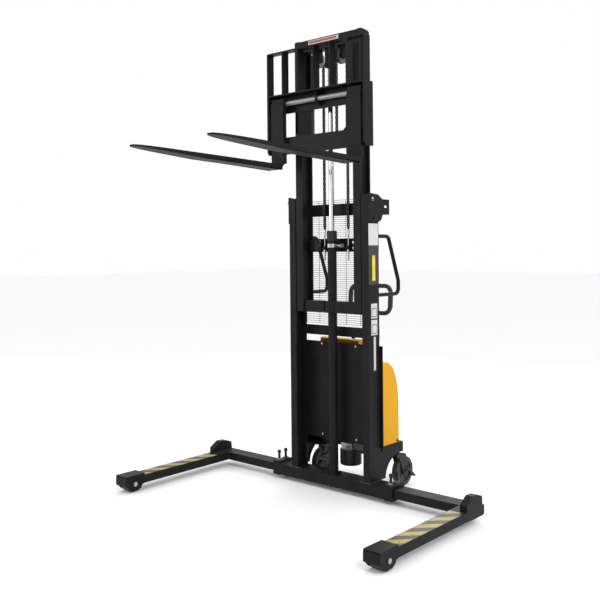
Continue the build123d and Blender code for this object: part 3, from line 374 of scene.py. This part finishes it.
# ------------------------------------------------------------------ wire guard
guard_low, guard_high = box_of("mesh_guard")
guard_bm = bmesh.new()
WIRE = 1.3 * MM
rows = round((guard_high.z - guard_low.z) / (13 * MM))
for i in range(rows + 1):
    z = guard_low.z + WIRE + (guard_high.z - guard_low.z - 2 * WIRE) * i / rows
    add_tube(guard_bm, [Vector((guard_low.x, guard_low.y + WIRE, z)),
                        Vector((guard_high.x, guard_low.y + WIRE, z))], WIRE, 8)
columns = 5
for i in range(columns + 1):
    x = guard_low.x + WIRE + (guard_high.x - guard_low.x - 2 * WIRE) * i / columns
    add_tube(guard_bm, [Vector((x, guard_high.y - WIRE, guard_low.z)),
                        Vector((x, guard_high.y - WIRE, guard_high.z))], WIRE, 8)
guard = piece("GuardWires", finished(guard_bm, "GuardWires"), "chassis", finish["frame_paint"])
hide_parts("mesh_guard")


# ------------------------------------------------------------------ tapes and plain labels
LABEL_CORNER = 2.5 * MM


def sticker(name, low, high, body, mat):
    """A thin label with round corners on a face; low and high are its opposite corners."""
    size = high - low
    thin = min(range(3), key=lambda i: abs(size[i]))
    u, v = [i for i in range(3) if i != thin]

    def arc_centre(axis, far):
        return low[axis] + (size[axis] - LABEL_CORNER if far else LABEL_CORNER)

    outline = []
    for far_u, far_v, start in ((1, 1, 0), (0, 1, 90), (0, 0, 180), (1, 0, 270)):
        for step in range(4):
            angle = math.radians(start + step * 30)
            outline.append((arc_centre(u, far_u) + LABEL_CORNER * math.cos(angle),
                            arc_centre(v, far_v) + LABEL_CORNER * math.sin(angle)))
    bm = bmesh.new()
    for level in (low[thin], high[thin]):
        ring = []
        for a, b in outline:
            point = [0, 0, 0]
            point[u], point[v], point[thin] = a, b, level
            ring.append(bm.verts.new(point))
        bm.faces.new(ring)
    bm.verts.ensure_lookup_table()
    count = len(outline)
    for i in range(count):
        j = (i + 1) % count
        bm.faces.new((bm.verts[i], bm.verts[j], bm.verts[count + j], bm.verts[count + i]))
    return piece(name, finished(bm, name), body, mat, smooth=False)


TAPE = 0.4 * MM  # thickness
LEG_DROP = 5.5 * MM  # the legs' top below the base beam's
tape_mat = striped("HazardTape", (0.36, 0.30, 0.046), (0.018, 0.017, 0.016), 0.137, -1.0)
TAPE_HALF = 43 * MM
for label, sign in SIDES:
    high = box_of(label + "_leg")[1]
    roller_low, roller_high = box_of(label + "_leg_roller")
    middle = (roller_low.x + roller_high.x) / 2
    top = box_of("base_beam")[1].z - LEG_DROP
    start_y = roller_high.y + 24 * MM
    end_y = high.y - 201 * MM
    sticker(f"HazardTape_{label}", Vector((middle - TAPE_HALF, start_y, top)),
            Vector((middle + TAPE_HALF, end_y, top + TAPE)), label + "_leg", tape_mat)

channel_low, channel_high = box_of("right_outer_channel")
web = channel_high.x
mast_front = channel_low.y
white_vinyl = surface("WhiteVinyl", (0.53, 0.53, 0.545), 0.4, second=(0.49, 0.49, 0.505), patch=12, bump=0.05)
black_vinyl = surface("BlackVinyl", (0.006, 0.006, 0.006), 0.3, patch=12, bump=0.05, coat=0.2)
yellow_vinyl = surface("YellowVinyl", (0.72, 0.62, 0.02), 0.4, patch=12, bump=0.05)
red_vinyl = surface("RedVinyl", (0.42, 0.05, 0.06), 0.4, patch=12, bump=0.05)
border_vinyl = surface("BorderVinyl", (0.14, 0.06, 0.06), 0.4, patch=12, bump=0.05)


def web_label(name, y, z, mat, lift=0.0):
    sticker(name, Vector((web + lift, mast_front + y[0] * MM, z[0] * MM)),
            Vector((web + lift + 0.3 * MM, mast_front + y[1] * MM, z[1] * MM)), "chassis", mat)


web_label("PaleLabel", (4, 97), (1462, 1588), white_vinyl)
web_label("DarkDecal", (4, 97), (1236, 1460), black_vinyl)
web_label("DecalBand", (38, 66), (1258, 1404), yellow_vinyl, 0.3 * MM)
web_label("NoticeUpper", (24, 83), (1040, 1126), white_vinyl)
web_label("NoticeUpperBlock", (30, 77), (1048, 1100), border_vinyl, 0.3 * MM)
web_label("NoticeUpperField", (34, 73), (1053, 1095), white_vinyl, 0.6 * MM)
web_label("NoticeLower", (24, 83), (944, 1032), white_vinyl)
web_label("NoticeLowerBlock", (30, 77), (952, 1006), border_vinyl, 0.3 * MM)
web_label("NoticeLowerField", (34, 73), (957, 1001), white_vinyl, 0.6 * MM)
web_label("ThinStrip", (42, 70), (736, 938), border_vinyl)
web_label("ThinStripPale", (48, 64), (742, 932), white_vinyl, 0.3 * MM)

top_low = box_of("inner_top_beam")[0]
sticker("TopLabel", Vector((-137 * MM, top_low.y - 0.3 * MM, 2680 * MM)),
        Vector((96 * MM, top_low.y, 2707 * MM)), "inner_mast", white_vinyl)
sticker("TopLabelBand", Vector((-132 * MM, top_low.y - 0.6 * MM, 2689 * MM)),
        Vector((82 * MM, top_low.y - 0.3 * MM, 2703 * MM)), "inner_mast", red_vinyl)

# ------------------------------------------------------------------ weld seams
LEG_INSIDE = 873 * MM  # distances to the middle plane
BLOCK_INSIDE = 926 * MM
COLLAR_INSIDE = 400 * MM
PLATE_INSIDE = 361 * MM
weld_mat = surface("WeldBead", (0.02, 0.02, 0.021), 0.45, patch=80, bump=0.3, grain=300, coat=0.1)


def seam(name, start, end, radius, body):
    """A rippled fillet weld between two corners."""
    steps = max(6, int((end - start).length / (2.2 * MM)))
    points = [start.lerp(end, i / steps) for i in range(steps + 1)]
    bm = bmesh.new()
    add_tube(bm, points, radius, 8, lambda i: 0.85 + 0.3 * (i % 3 == 1))
    piece(name, finished(bm, name), body, weld_mat)


beam_low, beam_high = box_of("base_beam")
for label, sign in SIDES:
    low, high = box_of(label + "_outer_channel")
    for which, y in (("front", low.y + 0.5 * MM), ("rear", high.y)):
        seam(f"ChannelFoot_{label}_{which}", Vector((low.x, y, beam_high.z)),
             Vector((high.x, y, beam_high.z)), 3 * MM, "chassis")
    outer = high.x if sign > 0 else low.x
    seam(f"ChannelFootSide_{label}", Vector((outer, low.y, beam_high.z)),
         Vector((outer, high.y, beam_high.z)), 3 * MM, "chassis")
    inner = sign * LEG_INSIDE
    top = beam_high.z - LEG_DROP
    tube_front = beam_low.y + 8 * MM
    seam(f"LegCorner_{label}", Vector((inner, tube_front, 42 * MM)), Vector((inner, tube_front, top)),
         3.5 * MM, label + "_leg")
    seam(f"LegTop_{label}", Vector((inner, tube_front, top)), Vector((inner, tube_front + 98 * MM, top)),
         2.6 * MM, label + "_leg")
    block_inner = sign * BLOCK_INSIDE
    seam(f"CornerBlock_{label}", Vector((block_inner, tube_front - 82 * MM, top)),
         Vector((block_inner, tube_front + 76 * MM, top)), 3 * MM, label + "_leg")
    collar_in = sign * COLLAR_INSIDE
    seam(f"CollarFront_{label}", Vector((collar_in, beam_low.y, 32 * MM)),
         Vector((collar_in, beam_low.y, 94 * MM)), 2.6 * MM, "chassis")
    seam(f"CollarTop_{label}", Vector((collar_in, beam_low.y, 97 * MM)),
         Vector((collar_in, beam_high.y, 97 * MM)), 2.6 * MM, "chassis")
carriage_low = box_of("carriage_frame")[0]
for label, sign in SIDES:
    inside = sign * PLATE_INSIDE
    front = carriage_low.y + 35 * MM
    seam(f"LowerPlate_{label}", Vector((inside, front, 2.024)), Vector((inside, front, 2.122)), 3 * MM,
         "carriage")
    seam(f"UpperPlate_{label}", Vector((inside, front + 35 * MM, 2.279)),
         Vector((inside, front + 35 * MM, 2.374)), 3 * MM, "carriage")


# ------------------------------------------------------------------ bolts, caps and small hardware
HEAD_HEIGHT = 6.5
WASHER = 1.6


def bolt(name, centre, axis, facing, across, body):
    """A hexagon head with a washer; `facing` is the sign of the way that it looks."""
    bm = bmesh.new()
    unit = {"X": Vector((1, 0, 0)), "Y": Vector((0, 1, 0)), "Z": Vector((0, 0, 1))}[axis] * facing
    add_prism(bm, circle(across * 0.72 * MM, 24), WASHER * MM, along(axis, centre + unit * (WASHER / 2) * MM))
    add_prism(bm, circle(across * 0.577 * MM, 6, 0.3), HEAD_HEIGHT * MM,
              along(axis, centre + unit * (WASHER + HEAD_HEIGHT / 2) * MM))
    add_prism(bm, circle(across * 0.3 * MM, 16), 1.2 * MM,
              along(axis, centre + unit * (WASHER + HEAD_HEIGHT + 0.6) * MM))
    piece(name, finished(bm, name), body, finish["dark_steel"], smooth=False, soften=0.5 * MM)


for label, sign in SIDES:
    for number, z in enumerate((1.62, 1.74)):
        bolt(f"BracketBolt_{label}_{number}", Vector((sign * 0.310, mast_front + 52 * MM, z)), "X", sign, 15,
             "chassis")
    bolt(f"FrameBolt_{label}_low", Vector((sign * 0.298, mast_front + 128 * MM, 0.262)), "X", sign, 14,
         "chassis")
for label, sign in SIDES:
    axle_low, axle_high = box_of(label + "_leg_axle")
    centre = (axle_low + axle_high) / 2
    tip = axle_high.x if sign > 0 else axle_low.x
    bm = bmesh.new()
    rim = Vector((tip - sign * 1.7 * MM, centre.y, centre.z))
    face = Vector((tip - sign * 0.3 * MM, centre.y, centre.z))
    add_prism(bm, circle(14 * MM, 6), 2.2 * MM, along("X", rim))
    add_prism(bm, circle(11 * MM, 24), 0.5 * MM, along("X", face))
    piece(f"AxleCap_{label}", finished(bm, f"AxleCap_{label}"), label + "_leg", finish["zinc_steel"],
          smooth=False, soften=0.6 * MM)

# lock pins with pull rings at the mast tops
for label, sign in SIDES:
    bm = bmesh.new()
    pin = Vector((sign * 0.312, mast_front + 20 * MM, 1.732))
    add_tube(bm, [pin, pin + Vector((sign * 14 * MM, 0, 0))], 5 * MM, 14)
    ring = [pin + Vector((sign * 12 * MM, 11 * MM * math.cos(a), 11 * MM * math.sin(a) - 4 * MM))
            for a in [2 * math.pi * i / 24 for i in range(25)]]
    add_tube(bm, ring, 1.3 * MM, 8)
    piece(f"LockPin_{label}", finished(bm, f"LockPin_{label}"), "chassis", finish["zinc_steel"])

# bracket with four bolts on the middle crossbar, and the clamp's bolt
BRACKET_X = -150 * MM
BRACKET_Z = 1465 * MM
cross_low = box_of("outer_crossbars")[0]
bm = bmesh.new()
bracket_spot = Vector((BRACKET_X, cross_low.y - 6 * MM, BRACKET_Z))
add_prism(bm, [(-42 * MM, -30 * MM), (42 * MM, -30 * MM), (42 * MM, 22 * MM), (30 * MM, 34 * MM),
               (-42 * MM, 34 * MM)],
          12 * MM, Matrix.Translation(bracket_spot) @ Matrix.Rotation(math.pi / 2, 4, "X"))
piece("CrossbarBracket", finished(bm, "CrossbarBracket"), "chassis", finish["dark_steel"],
      smooth=False, soften=2 * MM)
for i, (dx, dz) in enumerate(((-26, -16), (26, -16), (-26, 18), (18, 18))):
    bolt(f"BracketScrew_{i}", bracket_spot + Vector((dx * MM, -6 * MM, dz * MM)), "Y", -1, 13, "chassis")
clamp_low, clamp_high = box_of("cylinder_clamp")
clamp_z = (clamp_low.z + clamp_high.z) / 2
clamp_y = clamp_low.y + 34 * MM
bm = bmesh.new()
add_tube(bm, [Vector((0.029, clamp_y, clamp_z)), Vector((0.074, clamp_y, clamp_z))], 4 * MM, 12)
add_prism(bm, circle(8 * MM, 6), 6 * MM, along("X", Vector((0.036, clamp_y, clamp_z))))
add_prism(bm, circle(8 * MM, 6), 6 * MM, along("X", Vector((0.066, clamp_y, clamp_z))))
piece("ClampBolt", finished(bm, "ClampBolt"), "chassis", finish["zinc_steel"], smooth=False)

# grips on the tiller's loop
arm_high = box_of("tiller_arm")[1]
grip_mat = surface("GripRubber", (0.012, 0.012, 0.012), 0.65, patch=30, bump=0.6, grain=800)
lean = Vector((0, 72, 940)).normalized()
for label, sign in SIDES:
    base = Vector((sign * 0.156, arm_high.y - 14 * MM, arm_high.z - 14 * MM)) - lean * 0.135
    points = [base + lean * (0.098 * i / 24) for i in range(25)]
    bm = bmesh.new()
    add_tube(bm, points, 16 * MM, 18, lambda i: 1.0 if i % 3 else 0.93)
    piece(f"TillerGrip_{label}", finished(bm, f"TillerGrip_{label}"), "tiller", grip_mat)

# gauge, arrows and switch plates on the console
tilt = math.radians(50)
CONSOLE_Y = 193 * MM  # middle of the sloping face, behind the mast face
CONSOLE_Z = 849.3 * MM
CONSOLE_FACE = 5.6 * MM  # its plate, above the cover
normal = Vector((0, math.sin(tilt), math.cos(tilt)))
face_up = Vector((0, -math.cos(tilt), math.sin(tilt)))
console_mid = Vector((0, mast_front + CONSOLE_Y, CONSOLE_Z)) + normal * CONSOLE_FACE
to_face = Matrix((Vector((-1, 0, 0)), face_up, normal)).transposed().to_4x4()


def on_console(name, outline, centre, thickness, mat):
    bm = bmesh.new()
    spot = (console_mid + Vector((centre[0] * MM, 0, 0)) + face_up * (centre[1] * MM)
            + normal * (thickness / 2 * MM))
    add_prism(bm, [(x * MM, y * MM) for x, y in outline], thickness * MM, Matrix.Translation(spot) @ to_face)
    piece(name, finished(bm, name), "chassis", mat, smooth=False, soften=0.4 * MM)


on_console("GaugeRim", circle(15, 32), (-44, 14), 3, finish["zinc_steel"])
on_console("GaugeFace", circle(12.5, 32), (-44, 14), 3.4, white_vinyl)
for i, angle in enumerate(range(-60, 61, 30)):
    a = math.radians(angle)
    c = (-44 + 9 * math.sin(a), 14 + 9 * math.cos(a))
    on_console(f"GaugeMark_{i}", [(-0.6, -1.6), (0.6, -1.6), (0.6, 1.6), (-0.6, 1.6)], c, 3.7, black_vinyl)
on_console("ArrowUp", [(-7, -5), (7, -5), (0, 6)], (0, 38), 0.4, white_vinyl)
on_console("ArrowDown", [(-7, 5), (0, -6), (7, 5)], (0, -38), 0.4, white_vinyl)
on_console("StopPlate", circle(27, 40), (86, 0), 0.6, yellow_vinyl)
on_console("KeyPlate", circle(14, 32), (-86, 0), 0.8, finish["zinc_steel"])

# cover screws on both flanks and vents at its rear
cover_low, cover_high = box_of("power_cover")
for label, sign in SIDES:
    edge = cover_high.x if sign > 0 else cover_low.x
    for number, (y, z) in enumerate(((22, 12), (22, 448), (182, 12))):
        bm = bmesh.new()
        centre = Vector((edge + sign * 1.6 * MM, cover_low.y + y * MM, cover_low.z + z * MM))
        add_prism(bm, circle(8 * MM, 24), 3.2 * MM, along("X", centre))
        add_prism(bm, circle(3.4 * MM, 6), 0.8 * MM, along("X", centre + Vector((sign * 2 * MM, 0, 0))))
        piece(f"CoverScrew_{label}_{number}", finished(bm, f"CoverScrew_{label}_{number}"), "chassis",
              finish["dark_steel"], smooth=False, soften=0.8 * MM)
VENT = [(x * MM, z * MM) for x, z in ((-80, -2.5), (80, -2.5), (82, 0), (80, 2.5), (-80, 2.5), (-82, 0))]
bm = bmesh.new()
for i in range(7):
    spot = Vector((0, cover_high.y + 0.2 * MM, cover_low.z + (70 + 16 * i) * MM))
    add_prism(bm, VENT, 1.2 * MM, Matrix.Translation(spot) @ Matrix.Rotation(math.pi / 2, 4, "X"))
piece("CoverVents", finished(bm, "CoverVents"), "chassis", finish["black_plastic"],
      smooth=False)

# ring and ribs inside the caster wheels
for label, sign in SIDES:
    low, high = box_of(label + "_caster_wheel")
    centre = (low + high) / 2
    bm = bmesh.new()
    for turn in (-1, 1):
        ring = [centre + Vector((turn * 14 * MM, 44 * MM * math.cos(a), 44 * MM * math.sin(a)))
                for a in [2 * math.pi * i / 40 for i in range(41)]]
        add_tube(bm, ring, 2.2 * MM, 8)
        for i in range(5):
            a = 2 * math.pi * i / 5
            inner_end = centre + Vector((turn * 14 * MM, 20 * MM * math.cos(a), 20 * MM * math.sin(a)))
            outer_end = centre + Vector((turn * 14 * MM, 60 * MM * math.cos(a), 60 * MM * math.sin(a)))
            add_tube(bm, [inner_end, outer_end], 2.6 * MM, 8)
    piece(f"WheelRibs_{label}", finished(bm, f"WheelRibs_{label}"), label + "_caster_wheel",
          finish["caster_nylon"])

# ------------------------------------------------------------------ floor, light and camera
floor_mesh = bpy.data.meshes.new("Floor")
FLOOR = 40.0
floor_mesh.from_pydata([(-FLOOR, -FLOOR, 0), (FLOOR, -FLOOR, 0), (FLOOR, FLOOR, 0), (-FLOOR, FLOOR, 0)], [],
                       [(0, 1, 2, 3)])
floor = bpy.data.objects.new("Floor", floor_mesh)
bpy.context.scene.collection.objects.link(floor)
floor_mesh.materials.append(surface("PaleFloor", (0.95, 0.95, 0.95), 0.75, second=(0.94, 0.94, 0.94),
                                    patch=0.4))

world = bpy.data.worlds.new("Studio")
bpy.context.scene.world = world
world.use_nodes = True
world.node_tree.nodes["Background"].inputs["Color"].default_value = (1, 1, 1, 1)
world.node_tree.nodes["Background"].inputs["Strength"].default_value = 1.0
bpy.context.scene.view_settings.view_transform = "Standard"  # the default pales the yellow cover


def area(name, place, target, size, power):
    light = bpy.data.lights.new(name, "AREA")
    light.shape = "RECTANGLE"
    light.size, light.size_y = size
    light.energy = power
    item = bpy.data.objects.new(name, light)
    bpy.context.scene.collection.objects.link(item)
    item.location = place
    item.rotation_euler = (Vector(target) - Vector(place)).to_track_quat("-Z", "Y").to_euler()


area("KeySoftbox", (4.2, -1.2, 3.6), (0, 0.3, 1.2), (2.5, 2.5), 110)
area("FillSoftbox", (-3.6, -4.0, 2.8), (0, 0.3, 1.3), (2.5, 2.5), 60)
area("RearSoftbox", (-1.0, 4.5, 3.4), (0, 0.3, 1.2), (3.0, 2.0), 70)

camera_data = bpy.data.cameras.new("Camera")
camera_data.sensor_width = 36
camera_data.lens = 48.333
camera_data.shift_x = 0.0012
camera_data.shift_y = -0.0846
camera_data.clip_end = 200
camera = bpy.data.objects.new("Camera", camera_data)
bpy.context.scene.collection.objects.link(camera)
camera.location = (3.0515, mast_front - 3.7158, 1.4432)
camera.rotation_euler = (math.radians(90), math.radians(0.506), math.radians(41.386))
bpy.context.scene.camera = camera
